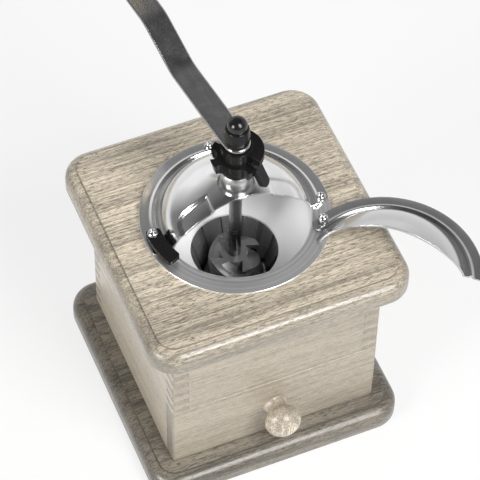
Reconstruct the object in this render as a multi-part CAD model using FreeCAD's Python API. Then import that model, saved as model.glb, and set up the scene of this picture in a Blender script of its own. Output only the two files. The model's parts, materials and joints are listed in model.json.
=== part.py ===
import FreeCAD, Part
import os
from math import acos, asin, atan2, cos, degrees, pi, radians, sin, sqrt

V = FreeCAD.Vector

# A box coffee mill: a finger jointed wooden case with a drawer, a steel hopper sunk in
# its top plate, a half dome cover that carries the shaft, a swinging half dome lid and a
# hand crank. The origin is the middle of the base plate's underside, +Z is up and the
# drawer faces -Y. All sizes are in millimetres and all angles in degrees, anticlockwise
# from +X as seen from above.

# Wooden plates
plate_overhang = 12.2
plate_thickness = 13.2
plate_corner_radius = 14.0
plate_border = 5.75
plate_step = 1.5
plate_round_over = 5.6
plate_lower_round = 1.0

# Finger jointed body, with an odd number of fingers so that the side walls have both ends
body_height = 93.3
guide_width = 4.8
board_thickness = 8.0
finger_count = 27
drawer_fingers = 12
body_edge_round = 1.5
corner_block_side = 11.0
corner_block_height = 22.0

# Drawer
opening_width = 80.0
drawer_clearance = 0.4
drawer_back_gap = 5.6
drawer_edge_round = 0.8
drawer_board = 5.0
drawer_side_height = 34.0
drawer_floor = 3.0
drawer_floor_rise = 3.0
drawer_groove = 2.0
guide_height = 14.0
kicker_height = 7.0
kicker_overlap = 6.0
drawer_knob_radius = 9.0
drawer_knob_length = 17.0
drawer_knob_neck = 5.0

# Hopper bowl
sheet = 1.0
hopper_flange_radius = 45.0
hopper_rim_radius = 35.4
hopper_lip_radius = 1.4
hopper_wall_radius = 29.8
throat_radius = 20.9
plate_hole_clearance = 0.4

# Half dome cover and lid
dome_radius = 36.0
dome_height = 26.8
dome_base = 0.4
dome_fullness = 1.6
cover_flange_radius = 44.8
bead_outer_radius = 40.3
bead_inner_radius = 37.3
bead_height = 1.2
bead_foot = 0.3
cover_front = 9.0
cover_turn = -1.0
cover_end_angle = 9.5
cover_end_slope = 28.3
lid_gap = 0.4
lid_lift = 0.3
panel_depth = 0.8
panel_inner = 13.8
panel_outer = 31.2
panel_back = 0.4
panel_corner = 6.0
seat_radius = 8.0
seat_height = 24.4
seat_bend = 0.7

# Lid pivot and catch
pivot_radius = 41.0
pivot_angle = -30.0
lid_open_angle = 142.0
lid_tab_radius = 5.0
pivot_clear_radius = 4.6
pivot_shank_radius = 1.6
pivot_head_radius = 2.6
pivot_head_height = 2.2
pivot_spacer_radius = 2.5
pivot_spacer_height = 3.0
pivot_depth = 12.0
catch_start = 176.2
catch_root_end = 188.2
catch_end = 204.8
catch_inner_radius = 37.0
catch_outer_radius = 44.0
catch_overhang = 2.5
catch_corner = 1.6

# The small flat left at the top of every rounded head
pole_radius = 0.3

# Screws
screw_shank_radius = 1.5
screw_head_radius = 2.6
screw_head_height = 1.9
screw_length = 12.0
screw_tip = 2.5
recess_width = 0.8
recess_length = 3.2
recess_depth = 1.1
cover_screw_radius = 41.2
cover_screw_angles = (-8.6, 85.0)
catch_screw_angle = 179.7
carrier_screw_edge = 3.6
base_screw_inset = 4.0
base_screw_length = 24.0

# Grinding works
burr_wall = 3.6
burr_height = 17.1
burr_gap = 0.9
burr_lip = 0.1
burr_slots = 12
burr_slot_width = 3.4
burr_slot_depth = 1.2
burr_seat_gap = 0.1
cone_foot_radius = 14.3
cone_neck_radius = 10.6
cone_core_radius = 6.4
cone_foot_height = 8.0
cone_height = 16.1
vane_count = 4
vane_reach = 12.4
vane_first = 4.0
vane_twist = 105.0
vane_root = 34.0
vane_tip = 16.0
vane_lean = 34.0
vane_overlap = 3.0
spring_wire = 0.5
spring_radius = 4.5
spring_turns = 5.0
spring_chamber_radius = 5.6
spring_chamber_height = 9.0
burr_pin_radius = 1.2
burr_pin_length = 11.0
burr_pin_rise = 10.8
carrier_wall = 4.0
carrier_ledge = 2.0
carrier_height = 20.0
carrier_foot_inside = 6.0
carrier_foot_outside = 2.6
carrier_foot_thickness = 4.0
carrier_arm_width = 11.0
carrier_arms = (30.0, 150.0, 270.0)
bridge_width = 12.0
bridge_thickness = 4.0
bridge_screw_length = 9.0
bush_radius = 5.0
bush_flange_radius = 6.5
bush_flange = 1.0
bush_tail = 4.0

# Shaft and what stands on it
shaft_radius = 3.0
shaft_square = 4.6
shaft_tail = 3.6
clip_radius = 5.4
clip_thickness = 0.8
clip_groove_radius = 2.5
clip_play = 0.3
fit_clearance = 0.02
running_clearance = 0.06
collar_foot_radius = 6.4
collar_waist_radius = 7.5
collar_top_radius = 6.0
collar_waist_rise = 7.0
collar_height = 11.0
collar_spigot_radius = 4.5
collar_nut_flats = 13.0
collar_nut_height = 2.8

# Adjusting wheel and its lever
wheel_gap = 0.3
wheel_hub_radius = 7.0
wheel_hub_height = 4.0
wheel_height = 10.0
wheel_tip_radius = 12.4
wheel_foot_radius = 11.2
wheel_root_radius = 8.8
wheel_lobes = 7
wheel_first_lobe = 182.0
wheel_notch_radius = 2.9
wheel_bare_lobe = 1
insert_radius = 4.4
lever_hub_radius = 7.4
lever_plate_radius = 12.6
lever_plate_height = 3.8
lever_plate_drop = 3.0
lever_plate_angle = 45.0
lever_height = 7.3
tongue_angle = -53.0
tongue_start_radius = 8.4
tongue_end_radius = 15.6
tongue_end_rise = -2.2
tongue_width = 5.6
tongue_thickness = 2.6
tongue_clearance = 0.25

# Crank
crank_angle = 97.7
crank_play = 0.3
crank_width = 12.6
crank_thickness = 2.5
crank_length = 115.0
crank_bend_start = 50.0
crank_bend_end = 76.0
crank_rise = 10.0
crank_bend_radius = 22.0
thread_radius = 2.3
cap_foot_radius = 5.7
cap_belly_radius = 6.05
cap_belly_height = 4.5
cap_shoulder_height = 8.7
cap_shoulder_round = 0.95
cap_ball_radius = 4.75
cap_ball_height = 10.9
cap_thread_depth = 7.0
axle_radius = 3.0
axle_head_radius = 4.4
axle_head_height = 1.6
axle_rivet_height = 1.4
knob_height = 42.0
knob_foot_radius = 8.0
knob_waist_radius = 6.6
knob_waist_height = 9.0
knob_belly_radius = 14.0
knob_belly_height = 27.0
knob_crown_radius = 7.0
knob_play = 0.3
ferrule_radius = 7.6
ferrule_height = 2.0

# Levels worked out from the sizes above
body_side = opening_width + 2.0 * (guide_width + board_thickness)
plate_side = body_side + 2.0 * plate_overhang
body_low = plate_thickness
body_high = body_low + body_height
plate_top = body_high + plate_thickness
field_side = plate_side - 2.0 * plate_border
body_half = 0.5 * body_side
inner_half = body_half - board_thickness
huge = 4.0 * plate_side
flange_top = plate_top + sheet
cover_top = flange_top + sheet
lip_level = flange_top - hopper_lip_radius
hopper_wall_centre = hopper_rim_radius - hopper_wall_radius
throat_reach = throat_radius - hopper_wall_centre
hopper_underside = lip_level - sqrt((hopper_wall_radius + sheet) ** 2 - throat_reach ** 2)
plate_hole_radius = hopper_rim_radius + sheet + plate_hole_clearance
carrier_screw_radius = plate_hole_radius + carrier_screw_edge
burr_mouth_radius = throat_radius - burr_lip
burr_exit_radius = cone_foot_radius + burr_gap
burr_outer_radius = burr_mouth_radius + burr_wall
bridge_screw_radius = burr_outer_radius + 0.5 * carrier_wall
burr_high = hopper_underside - burr_seat_gap
burr_low = burr_high - burr_height
cone_low = burr_low
bridge_high = burr_low - 1.6
bridge_low = bridge_high - bridge_thickness
bush_top = bridge_high + bush_flange
shaft_low = bridge_low - bush_tail - clip_play - shaft_tail
seat_level = plate_top + seat_height
collar_top = seat_level + collar_height
wheel_low = collar_top + wheel_gap
wheel_high = wheel_low + wheel_height
lever_high = wheel_high + lever_height
lever_plate_high = lever_high - lever_plate_drop
lever_plate_low = lever_plate_high - lever_plate_height
crank_low = lever_high + crank_play
crank_high = crank_low + crank_thickness
knob_low = crank_high + crank_rise + knob_play
pivot_seat = cover_top + lid_lift + 0.1
finger = body_height / finger_count
opening_height = drawer_fingers * finger
opening_top = body_low + opening_height


def polar(radius, angle, height=0.0):
    return V(radius * cos(radians(angle)), radius * sin(radians(angle)), height)


def box(low, high):
    return Part.makeBox(high[0] - low[0], high[1] - low[1], high[2] - low[2], V(*low))


def cylinder(radius, low, high, centre=V(0, 0, 0)):
    return Part.makeCylinder(radius, high - low, V(centre.x, centre.y, low))


def ring(outer, inner, low, high, centre=V(0, 0, 0)):
    return cylinder(outer, low, high, centre).cut(cylinder(inner, low - 1.0, high + 1.0, centre))


def line(start, end):
    return Part.LineSegment(start, end).toShape()


def arc(start, middle, end):
    return Part.Arc(start, middle, end).toShape()


def at(radius, height):
    """A point of a meridian: distance from the axis and level."""
    return V(radius, 0, height)


def revolved(edges):
    """A full turn about the shaft's axis of the face that the edges close."""
    face = Part.Face(Part.Wire(Part.__sortEdges__(edges)))
    return face.revolve(V(0, 0, 0), V(0, 0, 1), 360)


def turned(points):
    """A full turn of a straight sided outline."""
    closed = points + [points[0]]
    return revolved([line(at(*a), at(*b)) for a, b in zip(closed, closed[1:])])


def rotated(shape, angle):
    copy = shape.copy()
    copy.rotate(V(0, 0, 0), V(0, 0, 1), angle)
    return copy


def moved(shape, offset):
    copy = shape.copy()
    copy.translate(offset)
    return copy


def fused(shapes):
    whole = shapes[0]
    for shape in shapes[1:]:
        whole = whole.fuse(shape)
    return whole.removeSplitter()


def rounded_square(side, radius, low, high):
    """An upright square prism with round corners."""
    half = 0.5 * side
    block = box((-half, -half, low), (half, half, high))
    corners = [edge for edge in block.Edges if abs(edge.Vertexes[0].Z - edge.Vertexes[1].Z) > 1e-6]
    return block.makeFillet(radius, corners)


def sector(outer, inner, start, end, low, high):
    """Part of a ring between two angles."""
    middle = 0.5 * (start + end)
    edges = [
        line(polar(inner, start, low), polar(outer, start, low)),
        arc(polar(outer, start, low), polar(outer, middle, low), polar(outer, end, low)),
        line(polar(outer, end, low), polar(inner, end, low)),
        arc(polar(inner, end, low), polar(inner, middle, low), polar(inner, start, low)),
    ]
    return Part.Face(Part.Wire(edges)).extrude(V(0, 0, high - low))


def level_edges(shape, level):
    """The edges of a shape that lie flat at one level."""
    return [edge for edge in shape.Edges
            if all(abs(vertex.Z - level) < 1e-5 for vertex in edge.Vertexes)
            and abs(edge.CenterOfMass.z - level) < 1e-5]


def pan_screw(place, seat, length, shank, head, head_height, grow=0.0):
    """A cross recessed pan head screw that points down; grow widens it to cut its hole."""
    crown = seat + head_height
    bulge = at(0.72 * (head + grow), seat + 0.78 * head_height + grow)
    body = revolved([
        line(at(0, seat - length), at(shank + grow, seat - length + screw_tip)),
        line(at(shank + grow, seat - length + screw_tip), at(shank + grow, seat)),
        line(at(shank + grow, seat), at(head + grow, seat)),
        arc(at(head + grow, seat), bulge, at(pole_radius, crown + grow)),
        line(at(pole_radius, crown + grow), at(0, crown + grow)),
        line(at(0, crown + grow), at(0, seat - length)),
    ])
    if grow == 0.0:
        half = 0.5 * recess_width
        reach = 0.5 * recess_length
        floor = crown - recess_depth
        body = body.cut(box((-reach, -half, floor), (reach, half, crown + 1.0)))
        body = body.cut(box((-half, -reach, floor), (half, reach, crown + 1.0)))
    return moved(body, V(place.x, place.y, 0))


def wood_screw(place, seat, grow=0.0):
    """One of the small screws that hold the metal parts to the top plate."""
    return pan_screw(place, seat, screw_length, screw_shank_radius,
                     screw_head_radius, screw_head_height, grow)


def cover_screw(angle, seat, grow=0.0):
    return wood_screw(polar(cover_screw_radius, angle), seat, grow)


def upward(screw, seat):
    """A screw turned over about the level of its seat, so that it points up."""
    copy = screw.copy()
    copy.rotate(V(0, 0, seat), V(1, 0, 0), 180)
    return copy


# The wooden case

def wooden_plate(low):
    """A square plate with a raised field and a rounded border below it."""
    high = low + plate_thickness
    border = rounded_square(plate_side, plate_corner_radius, low, high - plate_step)
    border = border.makeFillet(plate_round_over, level_edges(border, high - plate_step))
    border = border.makeFillet(plate_lower_round, level_edges(border, low))
    field = rounded_square(field_side, plate_corner_radius - plate_border, low + plate_lower_round, high)
    return border.fuse(field).removeSplitter()


def notch(low, high):
    """The corner pieces between two levels at both ends of a board behind the front face."""
    return Part.makeCompound([
        box((side * body_half - board_thickness, -body_half - 1.0, low),
            (side * body_half + board_thickness, -inner_half, high))
        for side in (-1, 1)
    ])


def body_board(turn, first):
    """One wall of the body, notched for the fingers of its neighbours and turned into place."""
    board = box((-body_half, -body_half, body_low), (body_half, -inner_half, body_high))
    for count in range(first, finger_count, 2):
        low = body_low + count * finger
        board = board.cut(notch(low, low + finger))
    board = rotated(board, turn)
    return board.common(rounded_square(body_side, body_edge_round, body_low, body_high))


def drawer_space():
    """The room that the drawer's front board takes from the front of the body."""
    return box((-huge, -huge, body_low - 1.0), (huge, -inner_half, opening_top))


def make_front_rail():
    """The front wall stands above the drawer, which has a front of the body's full width."""
    return body_board(0, 0).cut(drawer_space())


def make_side_wall(turn):
    return with_base_screw_holes(body_board(turn, 1).cut(drawer_space()))


def corner_places(offset):
    return [V(x * offset, y * offset, 0) for x in (-1, 1) for y in (-1, 1)]


def make_corner_blocks():
    """Glue blocks in the upper corners of the body."""
    half = 0.5 * corner_block_side
    low = body_high - corner_block_height
    return Part.makeCompound([
        moved(box((-half, -half, low), (half, half, body_high)), place)
        for place in corner_places(inner_half - half)
    ])


def base_screw(place, grow=0.0):
    """A countersunk screw up through the base plate into the edge of a wall board."""
    head = screw_head_radius + 1.0 + grow
    sink = head - screw_shank_radius
    shank = screw_shank_radius + grow
    body = turned([
        (0, 0.6 - grow), (head, 0.6 - grow), (head, 0.8), (shank, 0.8 + sink),
        (shank, base_screw_length - screw_tip), (0, base_screw_length + grow),
    ])
    if grow == 0.0:
        half = 0.5 * recess_width
        reach = 0.5 * recess_length
        body = body.cut(box((-reach, -half, 0.0), (reach, half, 0.6 + recess_depth)))
        body = body.cut(box((-half, -reach, 0.0), (half, reach, 0.6 + recess_depth)))
    return moved(body, V(place.x, place.y, 0))


def base_screw_places():
    """Screws sit in the middle of each side wall's thickness."""
    across = body_half - base_screw_inset
    along = 0.55 * body_half
    return [V(x * across, y * along, 0) for x in (-1, 1) for y in (-1, 1)]


def make_base_screws():
    return Part.makeCompound([base_screw(place) for place in base_screw_places()])


def with_base_screw_holes(shape):
    for place in base_screw_places():
        hole = base_screw(place, fit_clearance)
        well = cylinder(screw_head_radius + 1.0 + fit_clearance, -1.0, 0.7, place)
        shape = shape.cut(hole).cut(well)
    return shape


def make_drawer_guides():
    """Two rails that keep the drawer straight, in line with the sides of its opening."""
    low_x = 0.5 * opening_width
    rail = box((low_x, -inner_half, body_low), (inner_half, inner_half, body_low + guide_height))
    return Part.makeCompound([rail, rotated(rail, 180)])


def make_drawer_kickers():
    """Two rails above the drawer that stop it tipping when it is pulled out."""
    low_x = 0.5 * opening_width - kicker_overlap
    rail = box((low_x, -inner_half, opening_top), (inner_half, inner_half, opening_top + kicker_height))
    return Part.makeCompound([rail, rotated(rail, 180)])


# The drawer

drawer_half = 0.5 * opening_width - drawer_clearance
drawer_front_thickness = board_thickness - drawer_clearance
drawer_low = body_low + 0.2
drawer_back_face = inner_half - drawer_back_gap
box_front = -body_half + drawer_front_thickness
floor_low = drawer_low + drawer_floor_rise


def drawer_floor_slab(clearance):
    """The floor panel, or with a clearance the groove that it sits in."""
    reach = drawer_half - drawer_board + drawer_groove + clearance
    return box((-reach, box_front - drawer_groove - clearance, floor_low - clearance),
               (reach, drawer_back_face - drawer_board + drawer_groove + clearance,
                floor_low + drawer_floor + clearance))


def drawer_knob_place():
    return V(0, -body_half, body_low + 0.5 * opening_height)


def drawer_screw(grow=0.0):
    """The screw that holds the drawer knob, from inside the drawer."""
    reach = drawer_front_thickness + drawer_knob_neck + 4.0
    screw = pan_screw(V(0, 0, 0), 0, reach, screw_shank_radius,
                      screw_head_radius, screw_head_height, grow)
    screw.rotate(V(0, 0, 0), V(1, 0, 0), -90)
    return moved(screw, drawer_knob_place() + V(0, drawer_front_thickness, 0))


def make_drawer_front():
    """A board of the body's full width, flush with the rail above it and the side walls."""
    high = opening_top - drawer_clearance
    board = box((-body_half, -body_half, drawer_low), (body_half, box_front, high))
    board = board.common(rounded_square(body_side, body_edge_round, drawer_low, high))
    edges = [edge for edge in level_edges(board, drawer_low) + level_edges(board, high)
             if edge.CenterOfMass.y < box_front - 1.0 and abs(edge.CenterOfMass.x) < body_half - 0.01]
    board = board.makeFillet(drawer_edge_round, edges)
    return board.cut(drawer_floor_slab(fit_clearance)).cut(drawer_screw(fit_clearance))


def make_drawer_side():
    side = box((drawer_half - drawer_board, box_front, drawer_low),
               (drawer_half, drawer_back_face, drawer_low + drawer_side_height))
    return side.cut(drawer_floor_slab(fit_clearance))


def make_drawer_back():
    reach = drawer_half - drawer_board
    back = box((-reach, drawer_back_face - drawer_board, drawer_low),
               (reach, drawer_back_face, drawer_low + drawer_side_height))
    return back.cut(drawer_floor_slab(fit_clearance))


def make_drawer_knob():
    """A small turned knob: a short neck and a rounded head."""
    neck = 0.55 * drawer_knob_radius
    head = drawer_knob_neck + 0.45 * (drawer_knob_length - drawer_knob_neck)
    knob = revolved([
        line(at(0, 0), at(neck + 1.0, 0)),
        arc(at(neck + 1.0, 0), at(neck, 0.5 * drawer_knob_neck), at(neck + 0.6, drawer_knob_neck)),
        arc(at(neck + 0.6, drawer_knob_neck), at(0.93 * drawer_knob_radius, 0.5 * (drawer_knob_neck + head)),
            at(drawer_knob_radius, head)),
        arc(at(drawer_knob_radius, head), at(0.72 * drawer_knob_radius, head + 0.72 * (drawer_knob_length - head)),
            at(pole_radius, drawer_knob_length)),
        line(at(pole_radius, drawer_knob_length), at(0, drawer_knob_length)),
        line(at(0, drawer_knob_length), at(0, 0)),
    ])
    knob.rotate(V(0, 0, 0), V(1, 0, 0), 90)
    return moved(knob, drawer_knob_place()).cut(drawer_screw(fit_clearance))


# The hopper and its covers

def make_hopper_bowl():
    """A flanged bowl of sheet steel with a round throat over the burrs."""
    rim = hopper_rim_radius
    lip = hopper_lip_radius
    centre = hopper_wall_centre
    inner_low = lip_level - sqrt(hopper_wall_radius ** 2 - throat_reach ** 2)
    turn = radians(-30)
    inner_middle = at(centre + hopper_wall_radius * cos(turn), lip_level + hopper_wall_radius * sin(turn))
    outer = hopper_wall_radius + sheet
    outer_middle = at(centre + outer * cos(turn), lip_level + outer * sin(turn))
    lip_middle = at(rim + lip * (1 - cos(pi / 4)), lip_level + lip * sin(pi / 4))
    bowl = revolved([
        line(at(hopper_flange_radius, plate_top), at(hopper_flange_radius, flange_top)),
        line(at(hopper_flange_radius, flange_top), at(rim + lip, flange_top)),
        arc(at(rim + lip, flange_top), lip_middle, at(rim, lip_level)),
        arc(at(rim, lip_level), inner_middle, at(throat_radius, inner_low)),
        line(at(throat_radius, inner_low), at(throat_radius, hopper_underside)),
        arc(at(throat_radius, hopper_underside), outer_middle, at(rim + sheet, lip_level)),
        line(at(rim + sheet, lip_level), at(rim + sheet, plate_top)),
        line(at(rim + sheet, plate_top), at(hopper_flange_radius, plate_top)),
    ])
    return with_top_screw_holes(bowl)


def with_top_screw_holes(shape):
    """Takes out the holes for every screw that comes down from the top."""
    for angle in cover_screw_angles:
        shape = shape.cut(cover_screw(angle, cover_top, fit_clearance))
    shape = shape.cut(cover_screw(catch_screw_angle, catch_high, fit_clearance))
    return shape.cut(pivot_screw(fit_clearance))


def dome_curve(drop, low, inner):
    """The dome's meridian, made smaller by a distance: from a level in to a radius."""
    radius = dome_radius - drop
    height = dome_height - drop
    base = plate_top + dome_base
    power = 2.0 / dome_fullness
    start = asin((max(low - base, 0.0) / height) ** (1 / power))
    end = acos((inner / radius) ** (1 / power))
    turns = [start + (end - start) * step / 12.0 for step in range(13)]
    points = [at(radius * cos(turn) ** power, base + height * sin(turn) ** power) for turn in turns]
    curve = Part.BSplineCurve()
    curve.interpolate(points)
    return curve.toShape()


def dome_core(drop):
    """The solid under the dome's skin, made smaller by a distance."""
    low = plate_top - 2.0
    curve = dome_curve(drop, plate_top + dome_base, seat_radius)
    foot = curve.Vertexes[0].Point
    crown = curve.Vertexes[-1].Point
    return revolved([curve, line(crown, at(0, crown.z)), line(at(0, crown.z), at(0, low)),
                     line(at(0, low), at(foot.x, low)), line(at(foot.x, low), foot)])


def whole_dome():
    """The round sheet that the cover and the lid are cut from: flange, bead, dome and seat."""
    low = flange_top
    high = low + sheet
    foot = high + bead_foot
    crest = at(0.5 * (bead_outer_radius + bead_inner_radius), high + bead_height)
    outer = dome_curve(0.0, foot, seat_radius + seat_bend)
    inner = dome_curve(sheet, low, seat_radius + seat_bend + 0.8 * sheet)
    under = seat_level - sheet
    return revolved([
        line(at(cover_flange_radius, low), at(cover_flange_radius, high)),
        line(at(cover_flange_radius, high), at(bead_outer_radius, high)),
        arc(at(bead_outer_radius, high), crest, at(bead_inner_radius, foot)),
        line(at(bead_inner_radius, foot), outer.Vertexes[0].Point),
        outer,
        line(outer.Vertexes[-1].Point, at(seat_radius, seat_level)),
        line(at(seat_radius, seat_level), at(0, seat_level)),
        line(at(0, seat_level), at(0, under)),
        line(at(0, under), at(seat_radius + 0.3 * sheet, under)),
        line(at(seat_radius + 0.3 * sheet, under), inner.Vertexes[-1].Point),
        inner,
        line(inner.Vertexes[0].Point, at(cover_flange_radius, low)),
    ])


def in_front_of(slope, point):
    """A big block ahead of a sloping upright plane through a point."""
    block = box((-huge, -huge, -huge), (huge, 0, huge))
    block.rotate(V(0, 0, 0), V(0, 0, 1), slope)
    return moved(block, point)


def pressed_skins(above, below, grow):
    """The two places of the cover that are pressed in, as a layer between two depths."""
    layer = dome_core(above).cut(dome_core(below))
    outer = panel_outer + grow
    back = panel_back + grow
    zone = box((panel_inner - grow, -2.0 * cover_front, plate_top), (outer, back, huge))
    corner = [edge for edge in zone.Edges
              if all(abs(vertex.X - outer) + abs(vertex.Y - back) < 1e-6 for vertex in edge.Vertexes)]
    zone = zone.makeFillet(panel_corner + grow, corner)
    skin = layer.common(zone)
    return [skin, skin.mirror(V(0, 0, 0), V(1, 0, 0))]


def make_fixed_cover():
    """The rear half dome that is screwed down and carries the shaft's collar."""
    cover = whole_dome()
    cover = cover.cut(cylinder(collar_spigot_radius + fit_clearance, plate_top, seat_level + 1.0))
    for skin in pressed_skins(0.6 * sheet, sheet + panel_depth, 0.9 * sheet):
        cover = cover.fuse(skin)
    for skin in pressed_skins(-sheet, panel_depth, 0.0):
        cover = cover.cut(skin)
    cover = rotated(cover.cut(in_front_of(0, V(0, -cover_front, 0))), cover_turn)
    end = polar(cover_flange_radius, -cover_end_angle)
    for side in (-1, 1):
        cover = cover.cut(in_front_of(side * cover_end_slope, V(side * end.x, end.y, 0)))
    return with_top_screw_holes(cover)


pivot = polar(pivot_radius, pivot_angle)


def make_closed_lid():
    """The front half dome as it lies when it is shut."""
    lid = moved(whole_dome(), V(0, 0, lid_lift))
    behind = box((-huge, -cover_front - lid_gap, 0), (huge, huge, huge))
    lid = lid.cut(rotated(behind, cover_turn))
    end_zone = sector(hopper_flange_radius + 1.0, bead_inner_radius, pivot_angle, pivot_angle + 60.0,
                      plate_top, cover_top + 3.0)
    end_zone = end_zone.cut(cylinder(lid_tab_radius, plate_top - 1.0, cover_top + 4.0, pivot))
    lid = lid.cut(end_zone)
    lid = lid.cut(cylinder(pivot_clear_radius, cover_top + lid_lift, cover_top + dome_height, pivot))
    return lid.cut(cylinder(pivot_shank_radius + running_clearance, plate_top - 1.0, cover_top + 4.0, pivot))


def make_swing_lid():
    """The lid swung open about its pivot, as it is at rest."""
    lid = make_closed_lid().copy()
    lid.rotate(pivot, V(0, 0, 1), lid_open_angle)
    return lid


def pivot_screw(grow=0.0):
    seat = pivot_seat + pivot_spacer_height
    return pan_screw(pivot, seat, seat - plate_top + pivot_depth, pivot_shank_radius,
                     pivot_head_radius, pivot_head_height, grow)


def make_pivot_spacer():
    """The sleeve between the lid's tab and the screw's head."""
    return ring(pivot_spacer_radius, pivot_shank_radius + fit_clearance,
                pivot_seat, pivot_seat + pivot_spacer_height, pivot)


catch_underside = cover_top + lid_lift + bead_height + 0.3
catch_high = catch_underside + catch_overhang


def make_lid_catch():
    """A moulded block whose front half reaches over the shut lid's flange."""
    block = sector(catch_outer_radius, catch_inner_radius, catch_start, catch_end, cover_top, catch_high)
    upright = [edge for edge in block.Edges if abs(edge.Vertexes[0].Z - edge.Vertexes[-1].Z) > 1.0]
    block = block.makeFillet(catch_corner, upright)
    under = sector(catch_outer_radius + 2.0, catch_inner_radius - 2.0, catch_root_end, catch_end + 5.0,
                   plate_top, catch_underside)
    groove = ring(bead_outer_radius + 0.2, catch_inner_radius - 2.0, plate_top, cover_top + bead_height + 0.1)
    return with_top_screw_holes(block.cut(under).cut(groove))


def make_cover_screws():
    screws = [cover_screw(angle, cover_top) for angle in cover_screw_angles]
    return Part.makeCompound(screws + [cover_screw(catch_screw_angle, catch_high)])


def make_top_plate():
    hole = cylinder(plate_hole_radius, 0, 2 * plate_top)
    plate = with_top_screw_holes(wooden_plate(body_high).cut(hole))
    for angle in carrier_arms:
        plate = plate.cut(carrier_screw(angle, fit_clearance))
    return plate


# The grinding works

def burr_inner_radius(level):
    share = (burr_high - level) / burr_height
    return burr_mouth_radius + (burr_exit_radius - burr_mouth_radius) * share


def make_outer_burr():
    """The fixed ring burr: a tapering mouth with broad upright slots."""
    burr = turned([(burr_exit_radius, burr_low), (burr_outer_radius, burr_low),
                   (burr_outer_radius, burr_high), (burr_mouth_radius, burr_high)])
    lean = degrees(atan2(burr_mouth_radius - burr_exit_radius, burr_height))
    length = 2.0 * burr_height
    middle = 0.5 * (burr_low + burr_high)
    slot = box((-1.0, -0.5 * burr_slot_width, -length), (burr_slot_depth, 0.5 * burr_slot_width, length))
    slot.rotate(V(0, 0, 0), V(0, 1, 0), lean)
    slot = moved(slot, at(burr_inner_radius(middle), middle))
    for count in range(burr_slots):
        burr = burr.cut(rotated(slot, 360.0 * count / burr_slots))
    return burr


def vane_section(level, turn):
    """One vane's outline at a level: broad at the core, leaning to one side, narrow at its tip."""
    inner = cone_core_radius - 1.0
    outline = [
        polar(inner, turn + vane_lean - 0.5 * vane_root, level),
        polar(vane_reach, turn - 0.5 * vane_tip, level),
        polar(vane_reach, turn + 0.5 * vane_tip, level),
        polar(0.8 * vane_reach, turn + 0.5 * (vane_lean + vane_tip), level),
        polar(inner, turn + vane_lean + 0.5 * vane_root, level),
    ]
    return Part.makePolygon(outline + [outline[0]])


def make_cone_burr():
    """The turning burr: a cone below and curved feeding vanes above."""
    foot_high = cone_low + cone_foot_height
    high = cone_low + cone_height
    body = turned([(0, cone_low), (cone_foot_radius, cone_low), (cone_neck_radius, foot_high),
                   (cone_core_radius, foot_high + 1.0), (cone_core_radius, high), (0, high)])
    low = foot_high - vane_overlap
    steps = 5
    sections = []
    for step in range(steps):
        share = step / (steps - 1.0)
        turn = vane_first + vane_twist * (1.0 - share)
        sections.append(vane_section(low + (high - low) * share, turn))
    vane = Part.makeLoft(sections, True, False)
    for count in range(vane_count):
        body = body.fuse(rotated(vane, 360.0 * count / vane_count))
    body = body.cut(cylinder(shaft_radius + fit_clearance, cone_low - 1.0, high + 1.0))
    body = body.cut(cylinder(spring_chamber_radius, cone_low - 1.0, cone_low + spring_chamber_height))
    return body.cut(burr_pin(fit_clearance))


def burr_pin(grow=0.0):
    level = cone_low + burr_pin_rise
    half = 0.5 * burr_pin_length + grow
    return Part.makeCylinder(burr_pin_radius + grow, 2 * half, V(-half, 0, level), V(1, 0, 0))


def make_burr_spring():
    """The spring that holds the cone up against the adjusting wheel."""
    low = bush_top + 0.2 + spring_wire
    high = cone_low + spring_chamber_height - 0.2 - spring_wire
    helix = Part.makeHelix((high - low) / spring_turns, high - low, spring_radius)
    helix.translate(V(0, 0, low))
    start = helix.Vertexes[0].Point
    section = Part.Wire(Part.makeCircle(spring_wire, start, V(0, 1, 0)))
    return Part.Wire(helix.Edges).makePipeShell([section], True, True)


def carrier_screw(angle, grow=0.0):
    """A screw up through a carrier foot into the top plate."""
    seat = body_high - carrier_foot_thickness
    place = polar(carrier_screw_radius, angle)
    return moved(upward(pan_screw(V(0, 0, 0), seat, screw_length, screw_shank_radius,
                                  screw_head_radius, screw_head_height, grow), seat), place)


def carrier_arm():
    """One arm of the carrier along +X: a leaning rib and a flat foot."""
    inner = burr_outer_radius + 0.5 * carrier_wall
    foot_inner = carrier_screw_radius - carrier_foot_inside
    foot_outer = carrier_screw_radius + carrier_foot_outside
    half = 0.5 * carrier_arm_width
    low = body_high - carrier_foot_thickness
    foot = box((foot_inner, -half, low), (foot_outer, half, body_high))
    rib_low = carrier_low + 2.0
    outline = [V(inner, 0, rib_low), V(foot_inner + 2.0, 0, low), V(foot_inner + 2.0, 0, body_high),
               V(foot_inner, 0, body_high), V(inner, 0, carrier_high)]
    rib = Part.Face(Part.makePolygon(outline + [outline[0]])).extrude(V(0, 0.5 * carrier_arm_width, 0))
    return fused([foot, moved(rib, V(0, -0.25 * carrier_arm_width, 0))])


carrier_low = bridge_high
carrier_high = carrier_low + carrier_height


def make_burr_carrier():
    """A cast ring round the outer burr, hung from the top plate by three arms."""
    outer = burr_outer_radius + carrier_wall
    carrier = cylinder(outer, carrier_low, carrier_high)
    for angle in carrier_arms:
        carrier = carrier.fuse(rotated(carrier_arm(), angle))
    carrier = carrier.cut(cylinder(burr_outer_radius + fit_clearance, burr_low, huge))
    carrier = carrier.cut(cylinder(burr_outer_radius - carrier_ledge, carrier_low - 1.0, carrier_high))
    for angle in carrier_arms:
        carrier = carrier.cut(carrier_screw(angle, fit_clearance))
    for side in (0, 180):
        carrier = carrier.cut(rotated(bridge_screw(fit_clearance), side))
    return carrier.removeSplitter()


def make_carrier_screws():
    return Part.makeCompound([carrier_screw(angle) for angle in carrier_arms])


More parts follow.
